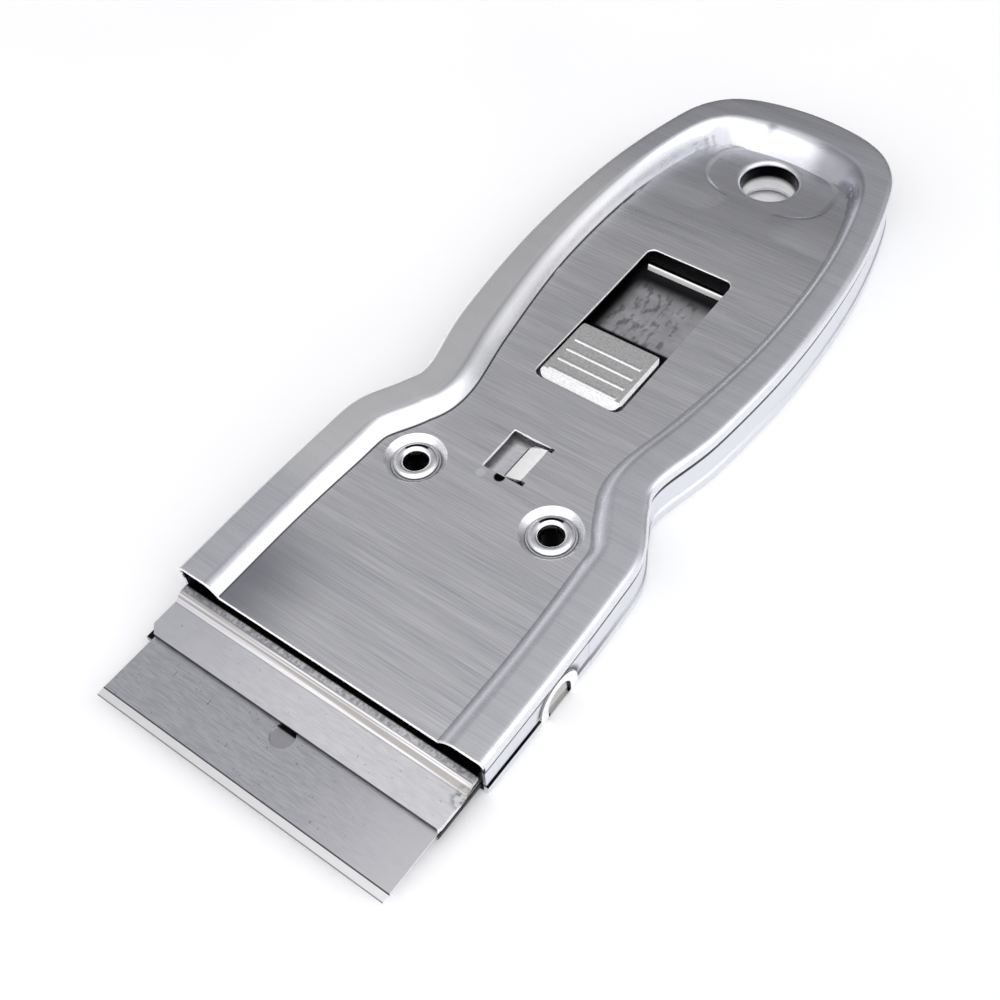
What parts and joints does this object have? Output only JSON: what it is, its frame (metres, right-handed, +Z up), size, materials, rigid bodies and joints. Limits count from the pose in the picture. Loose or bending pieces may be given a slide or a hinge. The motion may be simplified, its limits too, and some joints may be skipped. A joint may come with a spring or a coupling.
{
  "type": "razor blade scraper",
  "caption": "Flat stamped steel scraper whose thumb slide pushes a wide razor blade out of the housing and back in, with a hanging hole in the tail.",
  "frame": {"origin": "middle of the bounding box in X and Y, on the surface the scraper lies on", "axes": "+Y from the cutting edge to the tail, +Z up through the thumb slot side, +X across the blade"},
  "size_m": [0.0406, 0.1138, 0.0083],
  "materials": {
    "shell_steel": "brushed across the tool, satin on the drawn rim",
    "eyelet_steel": "bright plated, rolled edge",
    "carriage_steel": "plain sheet with rubbed sliding marks",
    "jaw_steel": "dark sheet",
    "rivet_steel": "plain",
    "blade_steel": "ground flat, brighter along the bevel",
    "button_metal": "satin, ribbed"
  },
  "bodies": {
    "housing": {"upper_shell": "shell_steel", "lower_shell": "shell_steel", "eyelet_left": "eyelet_steel", "eyelet_right": "eyelet_steel"},
    "slider": {"carriage": "carriage_steel", "lower_jaw": "jaw_steel", "jaw_rivets": "rivet_steel", "razor_blade": "blade_steel", "thumb_button": "button_metal", "button_rivet": "rivet_steel"}
  },
  "joints": [
    {"name": "blade_slide", "type": "slide", "parent": "housing", "child": "slider", "axis": [0, 1, 0], "range_m": [0, 0.0149]}
  ]
}
